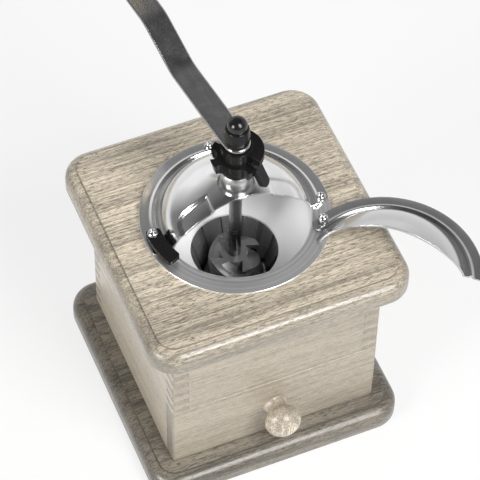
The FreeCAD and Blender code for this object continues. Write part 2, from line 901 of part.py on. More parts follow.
def bridge_screw(grow=0.0):
    screw = pan_screw(V(0, 0, 0), bridge_low, bridge_screw_length, screw_shank_radius,
                      screw_head_radius, screw_head_height, grow)
    return moved(upward(screw, bridge_low), V(bridge_screw_radius, 0, 0))


def make_bridge_screws():
    return Part.makeCompound([rotated(bridge_screw(), side) for side in (0, 180)])


def make_bearing_bridge():
    """A flat bar across the carrier that holds the shaft's lower bush."""
    reach = burr_outer_radius + carrier_wall
    half = 0.5 * bridge_width
    bar = box((-reach, -half, bridge_low), (reach, half, bridge_high))
    bar = bar.common(cylinder(reach, bridge_low, bridge_high))
    bar = bar.cut(cylinder(bush_radius + fit_clearance, bridge_low - 1.0, bridge_high + 1.0))
    for side in (0, 180):
        bar = bar.cut(rotated(bridge_screw(fit_clearance), side))
    return bar


def make_lower_bush():
    bore = shaft_radius + running_clearance
    low = bridge_low - bush_tail
    return turned([(bore, low), (bush_radius, low), (bush_radius, bridge_high),
                   (bush_flange_radius, bridge_high), (bush_flange_radius, bush_top), (bore, bush_top)])


# The shaft and its collar

clip_high = bridge_low - bush_tail - clip_play
clip_low = clip_high - clip_thickness
thread_high = crank_high + cap_thread_depth


def make_shaft():
    """A round shaft, square under the crank and threaded above it."""
    shaft = cylinder(shaft_radius, shaft_low, crank_low)
    half = 0.5 * shaft_square
    square = box((-half, -half, crank_low), (half, half, crank_high - 0.1))
    square = rotated(square, crank_angle).common(cylinder(shaft_radius, crank_low, crank_high))
    shaft = shaft.fuse(square).fuse(cylinder(thread_radius, crank_low, thread_high))
    groove = ring(shaft_radius + 1.0, clip_groove_radius, clip_low, clip_high)
    return shaft.cut(groove).cut(burr_pin(fit_clearance)).removeSplitter()


def make_shaft_clip():
    """The open ring in the shaft's groove, below the lower bush."""
    inner = clip_groove_radius + fit_clearance
    clip = ring(clip_radius, inner, clip_low + fit_clearance, clip_high - fit_clearance)
    return clip.cut(box((0, -inner, clip_low - 1.0), (clip_radius + 1.0, inner, clip_high + 1.0)))


def make_shaft_collar():
    """The bright collar on the cover, with a spigot that goes through it."""
    bore = shaft_radius + running_clearance
    low = seat_level
    spigot_low = seat_level - sheet - collar_nut_height - 0.6
    waist = low + collar_waist_rise
    middle = 0.5 * (collar_foot_radius + collar_waist_radius) + 0.25
    return revolved([
        line(at(bore, spigot_low), at(collar_spigot_radius, spigot_low)),
        line(at(collar_spigot_radius, spigot_low), at(collar_spigot_radius, low)),
        line(at(collar_spigot_radius, low), at(collar_foot_radius, low)),
        arc(at(collar_foot_radius, low), at(middle, 0.5 * (low + waist)), at(collar_waist_radius, waist)),
        arc(at(collar_waist_radius, waist),
            at(collar_waist_radius - 0.2, 0.5 * (waist + collar_top)), at(collar_top_radius, collar_top)),
        line(at(collar_top_radius, collar_top), at(bore, collar_top)),
        line(at(bore, collar_top), at(bore, spigot_low)),
    ])


def hexagon(flats, low, high):
    radius = 0.5 * flats / cos(pi / 6)
    corners = [polar(radius, 60.0 * count + 30.0, low) for count in range(7)]
    return Part.Face(Part.makePolygon(corners)).extrude(V(0, 0, high - low))


def make_collar_nut():
    """The nut under the cover that holds the collar down."""
    high = seat_level - sheet
    nut = hexagon(collar_nut_flats, high - collar_nut_height, high)
    return nut.cut(cylinder(collar_spigot_radius + fit_clearance, plate_top, high + 1.0))


# The adjusting wheel and its lever

lobe_pitch = 360.0 / wheel_lobes
insert_bore = shaft_radius + running_clearance


def tongue(grow=0.0):
    """The lever's tongue: it slopes down and out through a notch of the wheel."""
    start = at(tongue_start_radius, 0.5 * (lever_plate_low + lever_plate_high))
    end = at(tongue_end_radius, wheel_low + tongue_end_rise)
    run = end - start
    half = 0.5 * tongue_width + grow
    thick = 0.5 * tongue_thickness + grow
    straight = run.Length - 0.5 * tongue_width
    bar = box((0, -half, -thick), (straight, half, thick))
    tip = cylinder(half, -thick, thick, V(straight, 0, 0))
    whole = bar.fuse(tip).removeSplitter()
    whole.rotate(V(0, 0, 0), V(0, 1, 0), degrees(atan2(-run.z, run.x)))
    return rotated(moved(whole, start), tongue_angle)


def make_star_wheel():
    """A fluted plastic wheel that draws the shaft up as it is turned."""
    foot = wheel_low + wheel_hub_height
    wheel = turned([(insert_radius + fit_clearance, wheel_low), (wheel_hub_radius, wheel_low),
                    (wheel_hub_radius, foot), (wheel_foot_radius, foot),
                    (wheel_tip_radius, wheel_high), (insert_radius + fit_clearance, wheel_high)])
    reach = wheel_root_radius + wheel_notch_radius
    round_end = cylinder(wheel_notch_radius, foot - 1.0, wheel_high + 1.0, V(reach, 0, 0))
    mouth = box((reach, -wheel_notch_radius, foot - 1.0), (reach + 10.0, wheel_notch_radius, wheel_high + 1.0))
    notch = round_end.fuse(mouth)
    for count in range(wheel_lobes):
        wheel = wheel.cut(rotated(notch, wheel_first_lobe + (count + 0.5) * lobe_pitch))
    bare = wheel_first_lobe + wheel_bare_lobe * lobe_pitch
    wheel = wheel.cut(sector(2 * wheel_tip_radius, wheel_root_radius, bare - 0.5 * lobe_pitch,
                             bare + 0.5 * lobe_pitch, foot - 1.0, wheel_high + 1.0))
    return wheel.cut(tongue(tongue_clearance))


def make_wheel_insert():
    """The brass thread moulded into the wheel."""
    return ring(insert_radius, insert_bore, wheel_low, wheel_high)


def make_setting_lever():
    """A plastic plate under the crank with a tongue that lies in the wheel's notch."""
    hub = cylinder(lever_hub_radius, wheel_high, lever_high)
    plate = sector(lever_plate_radius, 1.0, -lever_plate_angle - 12.0, lever_plate_angle,
                   lever_plate_low, lever_plate_high)
    below = box((-huge, -huge, 0), (huge, huge, lever_plate_high))
    lever = fused([hub, plate, tongue().common(below)])
    return lever.cut(cylinder(insert_bore, wheel_low, lever_high + 1.0))


# The crank

def make_crank_arm():
    """A flat strip: level at the shaft, a gentle rise, and level again at the knob."""
    half = 0.5 * crank_width
    start = -half
    end = crank_length + half
    low = crank_low
    outline = [V(start, 0, low), V(crank_bend_start, 0, low), V(crank_bend_end, 0, low + crank_rise),
               V(end, 0, low + crank_rise), V(end, 0, low + crank_rise + crank_thickness),
               V(crank_bend_end, 0, low + crank_rise + crank_thickness),
               V(crank_bend_start, 0, low + crank_thickness), V(start, 0, low + crank_thickness)]
    strip = Part.Face(Part.makePolygon(outline + [outline[0]])).extrude(V(0, crank_width, 0))
    strip = moved(strip, V(0, -half, 0))
    bends = [edge for edge in strip.Edges
             if abs(edge.Vertexes[0].Y - edge.Vertexes[-1].Y) > 1.0
             and start + 1.0 < edge.CenterOfMass.x < end - 1.0]
    strip = strip.makeFillet(crank_bend_radius, bends)
    plan = fused([cylinder(half, 0, 2 * plate_top), cylinder(half, 0, 2 * plate_top, V(crank_length, 0, 0)),
                  box((0, -half, 0), (crank_length, half, 2 * plate_top))])
    arm = strip.common(plan)
    hole = 0.5 * shaft_square + fit_clearance
    arm = arm.cut(box((-hole, -hole, 0), (hole, hole, 2 * plate_top)))
    arm = arm.cut(cylinder(axle_radius + fit_clearance, 0, 2 * plate_top, V(crank_length, 0, 0)))
    return rotated(arm, crank_angle)


def make_cap_nut():
    """The round headed nut that clamps the crank down on the shaft."""
    low = crank_high
    ball = low + cap_ball_height
    shoulder = low + cap_shoulder_height
    seam = shoulder + cap_shoulder_round
    neck = sqrt(cap_ball_radius ** 2 - (ball - seam) ** 2)
    half_way = at(neck + cap_shoulder_round * cos(pi / 4), shoulder + cap_shoulder_round * sin(pi / 4))
    top = ball + sqrt(cap_ball_radius ** 2 - pole_radius ** 2)
    nut = revolved([
        line(at(0, low), at(cap_foot_radius, low)),
        arc(at(cap_foot_radius, low), at(cap_belly_radius, low + cap_belly_height),
            at(neck + cap_shoulder_round, shoulder)),
        arc(at(neck + cap_shoulder_round, shoulder), half_way, at(neck, seam)),
        arc(at(neck, seam), at(cap_ball_radius, ball), at(pole_radius, top)),
        line(at(pole_radius, top), at(0, top)),
        line(at(0, top), at(0, low)),
    ])
    return nut.cut(cylinder(thread_radius + fit_clearance, low - 1.0, thread_high + 0.2))


knob_place = polar(crank_length, crank_angle)
knob_high = knob_low + knob_height


def make_knob_axle():
    """The riveted pin that the knob turns on, with a head at each end."""
    rivet_low = crank_low + crank_rise - axle_rivet_height
    axle = turned([
        (0, rivet_low), (axle_radius + 1.0, rivet_low), (axle_radius + 1.0, crank_low + crank_rise),
        (axle_radius, crank_low + crank_rise), (axle_radius, knob_high + knob_play),
        (axle_head_radius, knob_high + knob_play), (axle_head_radius, knob_high + knob_play + 0.6 * axle_head_height),
        (0.6 * axle_head_radius, knob_high + knob_play + axle_head_height),
        (0, knob_high + knob_play + axle_head_height),
    ])
    return moved(axle, knob_place)


def make_crank_knob():
    """A turned wooden grip with a slim waist and a round belly."""
    bore = axle_radius + running_clearance + 0.02
    low = knob_low + ferrule_height
    waist = knob_low + knob_waist_height
    belly = knob_low + knob_belly_height
    crown = knob_high
    knob = revolved([
        line(at(bore, low), at(knob_foot_radius, low)),
        arc(at(knob_foot_radius, low), at(knob_waist_radius + 0.2, 0.5 * (low + waist)),
            at(knob_waist_radius + 0.6, waist)),
        arc(at(knob_waist_radius + 0.6, waist), at(0.82 * knob_belly_radius, 0.5 * (waist + belly) - 1.0),
            at(knob_belly_radius, belly)),
        arc(at(knob_belly_radius, belly), at(0.84 * knob_belly_radius, 0.4 * belly + 0.6 * crown),
            at(knob_crown_radius, crown)),
        line(at(knob_crown_radius, crown), at(bore, crown)),
        line(at(bore, crown), at(bore, low)),
    ])
    return moved(knob, knob_place)


def make_knob_ferrule():
    """The bright ring at the foot of the knob."""
    return ring(ferrule_radius, axle_radius + running_clearance + 0.02, knob_low,
                knob_low + ferrule_height, knob_place)


nodes = {
    "top_plate": make_top_plate(),
    "base_plate": with_base_screw_holes(wooden_plate(0.0)),
    "front_panel": make_front_rail(),
    "back_panel": body_board(180, 0),
    "left_panel": make_side_wall(270),
    "right_panel": make_side_wall(90),
    "corner_blocks": make_corner_blocks(),
    "base_screws": make_base_screws(),
    "drawer_guides": make_drawer_guides(),
    "drawer_kickers": make_drawer_kickers(),
    "drawer_front": make_drawer_front(),
    "drawer_right_side": make_drawer_side(),
    "drawer_left_side": make_drawer_side().mirror(V(0, 0, 0), V(1, 0, 0)),
    "drawer_back": make_drawer_back(),
    "drawer_floor": drawer_floor_slab(0.0),
    "drawer_knob": make_drawer_knob(),
    "drawer_knob_screw": drawer_screw(),
    "hopper_bowl": make_hopper_bowl(),
    "fixed_cover": make_fixed_cover(),
    "cover_screws": make_cover_screws(),
    "lid_catch": make_lid_catch(),
    "lid_pivot_screw": pivot_screw(),
    "lid_pivot_spacer": make_pivot_spacer(),
    "swing_lid": make_swing_lid(),
    "shaft_collar": make_shaft_collar(),
    "collar_nut": make_collar_nut(),
    "outer_burr": make_outer_burr(),
    "burr_carrier": make_burr_carrier(),
    "carrier_screws": make_carrier_screws(),
    "bearing_bridge": make_bearing_bridge(),
    "bridge_screws": make_bridge_screws(),
    "lower_bush": make_lower_bush(),
    "shaft": make_shaft(),
    "shaft_clip": make_shaft_clip(),
    "cone_burr": make_cone_burr(),
    "burr_pin": burr_pin(),
    "burr_spring": make_burr_spring(),
    "crank_arm": make_crank_arm(),
    "cap_nut": make_cap_nut(),
    "knob_axle": make_knob_axle(),
    "star_wheel": make_star_wheel(),
    "wheel_insert": make_wheel_insert(),
    "setting_lever": make_setting_lever(),
    "crank_knob": make_crank_knob(),
    "knob_ferrule": make_knob_ferrule(),
}

os.makedirs("parts", exist_ok=True)
for name, shape in nodes.items():
    bounds = shape.BoundBox
    print("%-18s solids %d valid %s volume %.1f  x %.1f %.1f  y %.1f %.1f  z %.1f %.1f" % (
        name, len(shape.Solids), shape.isValid(), shape.Volume, bounds.XMin, bounds.XMax,
        bounds.YMin, bounds.YMax, bounds.ZMin, bounds.ZMax))
    shape.exportStep("parts/" + name + ".step")
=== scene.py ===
import bmesh
import bpy
import json
from math import acos, asin, cos, hypot, pi, radians, sin, sqrt, tan
from mathutils import Matrix, Vector


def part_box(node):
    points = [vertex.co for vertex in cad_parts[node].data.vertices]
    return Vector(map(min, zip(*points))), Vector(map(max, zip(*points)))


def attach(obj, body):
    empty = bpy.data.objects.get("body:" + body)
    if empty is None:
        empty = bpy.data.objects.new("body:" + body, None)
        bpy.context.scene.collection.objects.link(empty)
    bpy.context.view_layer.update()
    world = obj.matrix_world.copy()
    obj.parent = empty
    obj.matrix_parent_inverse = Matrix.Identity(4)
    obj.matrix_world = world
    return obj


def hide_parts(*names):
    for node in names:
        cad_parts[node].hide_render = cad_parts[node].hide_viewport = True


# The looks of a box coffee mill. Meshes are written in millimetres in the frame of the CAD
# part and made into metres when they become objects. Angles are in degrees, anticlockwise
# from +X as seen from above.

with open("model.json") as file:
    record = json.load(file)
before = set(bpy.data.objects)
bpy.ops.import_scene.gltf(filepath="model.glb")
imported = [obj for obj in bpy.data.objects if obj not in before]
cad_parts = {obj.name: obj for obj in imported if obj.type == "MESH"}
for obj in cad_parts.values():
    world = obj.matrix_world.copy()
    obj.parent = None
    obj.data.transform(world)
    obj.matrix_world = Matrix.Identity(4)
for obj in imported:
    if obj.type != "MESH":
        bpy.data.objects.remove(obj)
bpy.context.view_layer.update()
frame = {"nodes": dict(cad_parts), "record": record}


def low(node):
    """The lowest corner of a CAD node's box in millimetres."""
    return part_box(node)[0] * 1000.0


def high(node):
    """The highest corner of a CAD node's box in millimetres."""
    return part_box(node)[1] * 1000.0


# Sizes of the wooden case
plate_side = high("top_plate").x - low("top_plate").x
plate_thickness = high("base_plate").z
plate_top = high("top_plate").z
body_high = low("top_plate").z
plate_corner_radius = 14.0
plate_border = 5.75
plate_step = 1.5
plate_round_over = 5.6
plate_foot_ease = 1.0
plate_edge_ease = 0.25

# Sizes of the hopper, the cover and the lid
sheet = 1.0
sheet_edge_ease = 0.45
hopper_flange_radius = 45.0
hopper_rim_radius = 35.4
hopper_lip_radius = 1.4
hopper_wall_radius = 29.8
hopper_edge_ease = 0.12
throat_radius = 20.9
plate_hole_radius = 36.8
cover_flange_radius = 44.8
flange_dish = 0.28
bead_outer_radius = 40.3
bead_inner_radius = 37.3
bead_height = 1.2
bead_sharpness = 1.3
bead_foot = 0.3
dome_radius = 36.0
dome_height = 26.8
dome_base = 0.4
dome_fullness = 1.6
seat_radius = 8.0
seat_height = 24.4
seat_bend = 0.7
collar_spigot_radius = 4.5
cover_front = 9.0
cover_turn = -1.0
cover_end_angle = 9.5
cover_end_slope = 28.3
lid_gap = 0.4
lid_lift = 0.3
panel_depth = 1.1
panel_wall = 2.4
panel_inner = 13.8
panel_outer = 31.2
panel_back = 0.4
panel_corner = 6.0
pivot_radius = 41.0
pivot_angle = -30.0
lid_open_angle = 142.0
lid_tab_radius = 5.0

# Size of the cap nut's ball, as a share of the nut's height
cap_ball_share = 0.385

# Sides of the turned sheets, enough to look round
bowl_sides = 256
cover_sides = 480

# Levels worked out from the sizes above
flange_top = plate_top + sheet
cover_top = flange_top + sheet
seat_level = plate_top + seat_height
lip_level = flange_top - hopper_lip_radius
hopper_wall_centre = hopper_rim_radius - hopper_wall_radius
pivot = Vector((pivot_radius * cos(radians(pivot_angle)), pivot_radius * sin(radians(pivot_angle)), 0))

# Where the photograph was taken from
photo_yaw = radians(-23.754)
photo_pitch = radians(53.588)
photo_roll = radians(1.445)
photo_distance = 1227.0
photo_aim = Vector((-4.58, -16.16, plate_top))
photo_lens = 198.825
photo_shift_x = 0.00104
photo_shift_y = 0.009375

# Light: a share of the light that a white level surface needs to look white
world_horizon = 1.0
world_left = 0.20
world_front = 0.16
world_right = 0.72
world_front_top = 0.08
world_back_top = 0.23
key_share = 0.64
fill_share = 0.26
backdrop_share = 0.75

# Where the lamps stand, and their distance in metres
key_direction = (0.26, -0.69, 0.68)
fill_direction = (-0.88, -0.26, 0.39)
lamp_distance = 1.7

# Where the world's level changes, as a direction's part along X, Y or Z from -1 to 1
world_left_fade = (-0.75, -0.35)
world_right_fade = (0.60, 0.95)
world_front_fade = (-0.60, -0.10)
world_top_fade = (0.15, 0.55)
world_height_fade = (0.30, 0.66)
world_lift_fade = (0.30, 0.80)
world_right_lift = 0.10


# Material helpers

def new_material(name):
    """A material with one plain shader, as its material, its node tree and its shader."""
    material = bpy.data.materials.new(name)
    material.use_nodes = True
    tree = material.node_tree
    tree.nodes.clear()
    shader = tree.nodes.new("ShaderNodeBsdfPrincipled")
    output = tree.nodes.new("ShaderNodeOutputMaterial")
    tree.links.new(shader.outputs[0], output.inputs[0])
    return material, tree, shader


def put(tree, value, socket):
    """Links a socket's value to an input, or sets the input to a number or colour."""
    if isinstance(value, bpy.types.NodeSocket):
        tree.links.new(value, socket)
    else:
        socket.default_value = value


def calculate(tree, operation, first, second=0.0):
    """One operation on one or two values."""
    node = tree.nodes.new("ShaderNodeMath")
    node.operation = operation
    put(tree, first, node.inputs[0])
    put(tree, second, node.inputs[1])
    return node.outputs[0]


def weighted(tree, pairs):
    """The sum of values, each times its weight."""
    scaled = [calculate(tree, "MULTIPLY", value, weight) for value, weight in pairs]
    total = scaled[0]
    for value in scaled[1:]:
        total = calculate(tree, "ADD", total, value)
    return total


def spread(tree, value, old_low, old_high, new_low, new_high):
    """Maps a range of values onto another, and holds it there."""
    node = tree.nodes.new("ShaderNodeMapRange")
    for socket, number in zip(node.inputs[:5], (value, old_low, old_high, new_low, new_high)):
        put(tree, number, socket)
    return node.outputs[0]


def ramp(tree, value, stops):
    """A colour ramp through (position, colour) stops."""
    node = tree.nodes.new("ShaderNodeValToRGB")
    elements = node.color_ramp.elements
    while len(elements) < len(stops):
        elements.new(0.5)
    for element, (position, colour) in zip(elements, stops):
        element.position = position
        element.color = (*colour, 1.0)
    put(tree, value, node.inputs[0])
    return node.outputs[0]


def grey(value):
    return (value, value, value)


def object_place(tree, size, turn=(0, 0, 0), centre=(0, 0, 0)):
    """Object coordinates where one unit is a patch of the given size in millimetres."""
    place = tree.nodes.new("ShaderNodeTexCoord").outputs["Object"]
    centred = tree.nodes.new("ShaderNodeVectorMath")
    centred.operation = "SUBTRACT"
    put(tree, place, centred.inputs[0])
    centred.inputs[1].default_value = Vector(centre) / 1000.0
    turned = tree.nodes.new("ShaderNodeMapping")
    put(tree, centred.outputs[0], turned.inputs["Vector"])
    turned.inputs["Rotation"].default_value = [radians(angle) for angle in turn]
    scaled = tree.nodes.new("ShaderNodeMapping")
    put(tree, turned.outputs[0], scaled.inputs["Vector"])
    scaled.inputs["Scale"].default_value = [1000.0 / length for length in size]
    return scaled.outputs[0]


def place_parts(tree, centre=(0, 0, 0)):
    """The X, Y and Z distances from a place in millimetres."""
    parts = tree.nodes.new("ShaderNodeSeparateXYZ")
    put(tree, object_place(tree, (1, 1, 1), centre=centre), parts.inputs[0])
    return parts.outputs


def noise(tree, place, detail, roughness, distortion=0.0):
    """A cloudy pattern from 0 to 1 over a place."""
    node = tree.nodes.new("ShaderNodeTexNoise")
    put(tree, place, node.inputs["Vector"])
    node.inputs["Scale"].default_value = 1.0
    node.inputs["Detail"].default_value = detail
    node.inputs["Roughness"].default_value = roughness
    node.inputs["Distortion"].default_value = distortion
    return node.outputs[0]


def set_colour(tree, shader, value, stops):
    """Colours a shader by a ramp through (position, colour) stops."""
    put(tree, ramp(tree, value, stops), shader.inputs["Base Color"])


def set_roughness(tree, shader, value, low_value, high_value, low_roughness, high_roughness):
    """Makes a shader's roughness follow a value."""
    roughness = spread(tree, value, low_value, high_value, low_roughness, high_roughness)
    put(tree, roughness, shader.inputs["Roughness"])


def bump(tree, shader, height, depth, edge=0.0):
    """Raises the surface by a height from 0 to 1 over a depth in millimetres.

    Its sharp edges can catch the light as if they were rounded by a radius in millimetres.
    """
    node = tree.nodes.new("ShaderNodeBump")
    node.inputs["Strength"].default_value = 1.0
    node.inputs["Distance"].default_value = depth / 1000.0
    put(tree, height, node.inputs["Height"])
    if edge:
        rounded = tree.nodes.new("ShaderNodeBevel")
        rounded.inputs["Radius"].default_value = edge / 1000.0
        put(tree, rounded.outputs[0], node.inputs["Normal"])
    put(tree, node.outputs[0], shader.inputs["Normal"])


# Materials

wood_tint = (1.13, 0.985, 0.77)

# Turns that lay the first axis of a pattern along the grain
grain_turn = {"x": (0, 0, 0), "y": (0, 0, -90), "z": (0, 90, 0)}

# Sizes of the wood's marks in millimetres, along the grain and twice across it
band_size = (150, 8, 8)
ring_size = (60, 1.3, 1.3)
fibre_size = (5, 0.42, 0.42)
pore_size = (2.8, 0.36, 0.36)
speck_size = (0.45, 0.45, 0.45)

# How far the wood is darkened, from 0 for its own tone to 1 for its darkest; a step's wall gets painted
# shade
end_grain_shade = 0.42
step_shade = 0.72
deepest_shade = 0.85

# How far above a step's level its painted shade starts, and how far above it is full
step_shade_start = 0.05
step_shade_full = 0.25

# Where the top plate's darkening towards its front edge, and the painted shade along its left edge, fade
# out along Y and X
front_fade = (-58.0, -12.0)
left_edge_fade = (-61.0, -54.0)
left_edge_share = 0.7

# Marks on plated sheet: the size of its smears and ripples, and the spacing of its turned rings
smear_size = (16, 16, 16)
ripple_size = 11.0
cover_ring_spacing = 0.6
bowl_ring_spacing = 0.9
flange_ring_spacing = 2.2

# Half the width of the bowl's change from frosted to bright, on either side of its rim
frost_blend = 1.0

# Radius at which the cut edges of plated sheet catch the light
glint_radius = 0.5


def wood_colour(luminance):
    return tuple(luminance * part for part in wood_tint)


def facing(tree, axis, none=0.15, full=0.85):
    """How far a face looks along an axis, from 0 to 1."""
    parts = tree.nodes.new("ShaderNodeSeparateXYZ")
    put(tree, tree.nodes.new("ShaderNodeTexCoord").outputs["Normal"], parts.inputs[0])
    along = calculate(tree, "ABSOLUTE", parts.outputs["xyz".index(axis)])
    return spread(tree, along, none, full, 0.0, 1.0)


def wood_tone(tree, marks, light, dark):
    """The wood's own colour, from a list of its marks with their weights."""
    middle = 0.5 * sum(weight for mark, weight in marks)
    tone = calculate(tree, "ADD", weighted(tree, marks), 0.5 - middle)
    return ramp(tree, tone, [
        (0.22, wood_colour(dark)),
        (0.5, wood_colour(0.5 * (dark + light) + 0.02)),
        (0.76, wood_colour(light)),
    ])


def wood_darkening_and_painted_shade(tree, grain, painted_upright_shade, step_level, front):
    """End grain, painted shade on upright faces, a step's wall and the left edge, and a darker front
    edge.
    """
    ends = calculate(tree, "MULTIPLY", facing(tree, grain), end_grain_shade)
    # Painted shade: faces that don't look up are darker below a step's level, and a step's wall darker
    # still
    upright = calculate(tree, "SUBTRACT", 1.0, facing(tree, "z", none=0.1, full=0.98))
    across, along, level = place_parts(tree)
    stepped = spread(tree, level, step_level + step_shade_start, step_level + step_shade_full,
                     painted_upright_shade, step_shade)
    shade = calculate(tree, "MAXIMUM", ends, calculate(tree, "MULTIPLY", upright, stepped))
    shade = calculate(tree, "ADD", shade, spread(tree, along, *front_fade, front, 0.0))
    # Painted shade along the left edge, a share of the front edge's darkening
    left_edge = spread(tree, across, *left_edge_fade, left_edge_share * front, 0.0)
    return calculate(tree, "ADD", shade, left_edge)


def make_wood(name, grain, light=0.80, dark=0.29, offset=0.0, streak=1.0, dash=0.8, painted_upright_shade=0.0,
              step_level=1000.0, front=0.0):
    """Pale lacquered beech with its grain along one axis, short dark dashes and end grain.

    Painted upright shade is painted shade on its upright faces below a step's level, and front
    darkens it towards its front edge. An offset shifts the marks, so that no two woods look alike.
    """
    material, tree, shader = new_material(name)
    turn = grain_turn[grain]
    centre = (offset, 0.7 * offset, -1.3 * offset)
    bands = noise(tree, object_place(tree, band_size, turn, centre), 3, 0.55, 0.4)
    rings = noise(tree, object_place(tree, ring_size, turn, centre), 2, 0.6)
    fibres = noise(tree, object_place(tree, fibre_size, turn, centre), 3, 0.65)
    specks = noise(tree, object_place(tree, speck_size), 2, 0.6)
    pores = noise(tree, object_place(tree, pore_size, turn, centre), 1, 0.5)
    dashes = spread(tree, pores, 0.55, 0.67, 0.0, 1.0)
    marks = [(bands, streak), (rings, 1.3 * streak), (fibres, 1.1), (specks, 0.6)]
    shade = calculate(tree, "ADD", calculate(tree, "MULTIPLY", dashes, dash),
                      wood_darkening_and_painted_shade(tree, grain, painted_upright_shade, step_level, front))
    mixed = tree.nodes.new("ShaderNodeMix")
    mixed.data_type = "RGBA"
    own_colour, darkest_colour = mixed.inputs[6:8]
    put(tree, calculate(tree, "MINIMUM", shade, deepest_shade), mixed.inputs["Factor"])
    put(tree, wood_tone(tree, marks, light, dark), own_colour)
    put(tree, (*wood_colour(0.4 * dark), 1.0), darkest_colour)
    put(tree, mixed.outputs[2], shader.inputs["Base Color"])
    set_roughness(tree, shader, fibres, 0.3, 0.7, 0.40, 0.55)
    shader.inputs["Coat Weight"].default_value = 0.8
    shader.inputs["Coat Roughness"].default_value = 0.26
    bump(tree, shader, weighted(tree, [(fibres, 0.5), (dashes, -1.0)]), 0.04)
    return material


def distance_from(tree, centre=(0, 0, 0)):
    """The distance from an upright axis in millimetres."""
    squares = [calculate(tree, "POWER", calculate(tree, "ABSOLUTE", part), 2.0)
               for part in place_parts(tree, centre)[:2]]
    return calculate(tree, "SQRT", calculate(tree, "ADD", *squares))


def circular_marks(tree, radius, spacing):
    """Fine rings at a spacing in millimetres, as a lathe leaves them."""
    marks = tree.nodes.new("ShaderNodeTexNoise")
    marks.noise_dimensions = "1D"
    put(tree, radius, marks.inputs["W"])
    marks.inputs["Scale"].default_value = 1.0 / spacing
    marks.inputs["Detail"].default_value = 3.0
    return marks.outputs[0]


def make_chrome(name, centre=(0, 0, 0), light=0.88, rough=0.15, ripple=ripple_size, depth=0.10):
    """Plated sheet with smears, circular marks and faint ripples of a length and a depth."""
    material, tree, shader = new_material(name)
    shader.inputs["Metallic"].default_value = 1.0
    smears = noise(tree, object_place(tree, smear_size), 4, 0.6, 0.6)
    set_colour(tree, shader, smears, [(0.3, grey(0.9 * light)), (0.7, grey(light))])
    set_roughness(tree, shader, smears, 0.3, 0.75, 0.8 * rough, 1.3 * rough)
    marks = circular_marks(tree, distance_from(tree, centre), cover_ring_spacing)
    ripples = noise(tree, object_place(tree, (ripple, ripple, 2.0 * ripple)), 1, 0.4)
    bump(tree, shader, weighted(tree, [(marks, 0.02), (ripples, 1.0)]), depth, glint_radius)
    return material


def make_bowl_metal(name):
    """Plated sheet that is frosted inside the bowl and finely turned on its flange."""
    material, tree, shader = new_material(name)
    radius = distance_from(tree)
    inside = spread(tree, radius, hopper_rim_radius - frost_blend, hopper_rim_radius + frost_blend,
                    1.0, 0.0)
    smears = noise(tree, object_place(tree, smear_size), 4, 0.6, 0.6)
    rings = circular_marks(tree, radius, flange_ring_spacing)
    tone = calculate(tree, "MAXIMUM", spread(tree, rings, 0.35, 0.65, 0.0, 1.0), inside)
    tone = calculate(tree, "ADD", tone, calculate(tree, "MULTIPLY", smears, 0.2))
    set_colour(tree, shader, tone, [(0.1, grey(0.74)), (1.0, grey(0.99))])
    set_roughness(tree, shader, inside, 0.0, 1.0, 0.30, 0.40)
    put(tree, spread(tree, inside, 0.0, 1.0, 0.85, 0.02), shader.inputs["Metallic"])
    marks = circular_marks(tree, radius, bowl_ring_spacing)
    ripples = noise(tree, object_place(tree, (ripple_size, ripple_size, ripple_size)), 1, 0.4)
    bump(tree, shader, weighted(tree, [(marks, 0.3), (ripples, 1.0)]), 0.10)
    return material


def make_metal(name, luminance, roughness, grain, streaks, polished=1.0):
    """Plain metal with a fine directional finish, smoother where it doesn't face up or down.

    Polished is the share of the roughness that is left there.
    """
    material, tree, shader = new_material(name)
    shader.inputs["Metallic"].default_value = 1.0
    lines = noise(tree, object_place(tree, streaks, grain_turn[grain]), 3, 0.6)
    cloud = noise(tree, object_place(tree, (7, 7, 7)), 3, 0.55)
    tone = weighted(tree, [(lines, 0.5), (cloud, 0.5)])
    set_colour(tree, shader, tone, [(0.3, grey(0.78 * luminance)), (0.7, grey(1.15 * luminance))])
    finish = spread(tree, tone, 0.3, 0.7, 0.8 * roughness, 1.25 * roughness)
    flanks = spread(tree, facing(tree, "z"), 0.0, 1.0, polished, 1.0)
    put(tree, calculate(tree, "MULTIPLY", finish, flanks), shader.inputs["Roughness"])
    bump(tree, shader, lines, 0.008)
    return material


def make_brass(name):
    """Turned brass with fine marks."""
    material, tree, shader = new_material(name)
    shader.inputs["Metallic"].default_value = 1.0
    lines = noise(tree, object_place(tree, (6, 6, 0.3)), 3, 0.6)
    set_colour(tree, shader, lines, [(0.3, (0.62, 0.45, 0.20)), (0.7, (0.80, 0.62, 0.32))])
    set_roughness(tree, shader, lines, 0.3, 0.7, 0.22, 0.34)
    bump(tree, shader, lines, 0.01)
    return material


def make_plastic(name, index):
    """Gloss black moulding with a faint orange peel and fine rub marks.

    A higher refractive index mirrors more of the light.
    """
    material, tree, shader = new_material(name)
    skin = noise(tree, object_place(tree, (1.6, 1.6, 1.6)), 2, 0.5)
    rubs = noise(tree, object_place(tree, (0.25, 6, 0.6), (20, 35, 50)), 4, 0.7)
    set_colour(tree, shader, rubs, [(0.35, grey(0.008)), (0.75, grey(0.016))])
    set_roughness(tree, shader, rubs, 0.35, 0.75, 0.12, 0.26)
    shader.inputs["IOR"].default_value = index
    bump(tree, shader, skin, 0.02)
    return material


def make_iron(name):
    """A blackened casting with a rough skin and a few bright rubbed spots."""
    material, tree, shader = new_material(name)
    shader.inputs["Metallic"].default_value = 0.5
    skin = noise(tree, object_place(tree, (0.9, 0.9, 0.9)), 4, 0.65)
    patches = noise(tree, object_place(tree, (5, 5, 5)), 4, 0.6)
    bright = spread(tree, calculate(tree, "ADD", skin, patches), 1.16, 1.34, 0.0, 1.0)
    set_colour(tree, shader, bright, [(0.0, grey(0.26)), (0.5, grey(0.36)), (1.0, grey(0.65))])
    set_roughness(tree, shader, skin, 0.3, 0.7, 0.26, 0.48)
    bump(tree, shader, skin, 0.12)
    return material


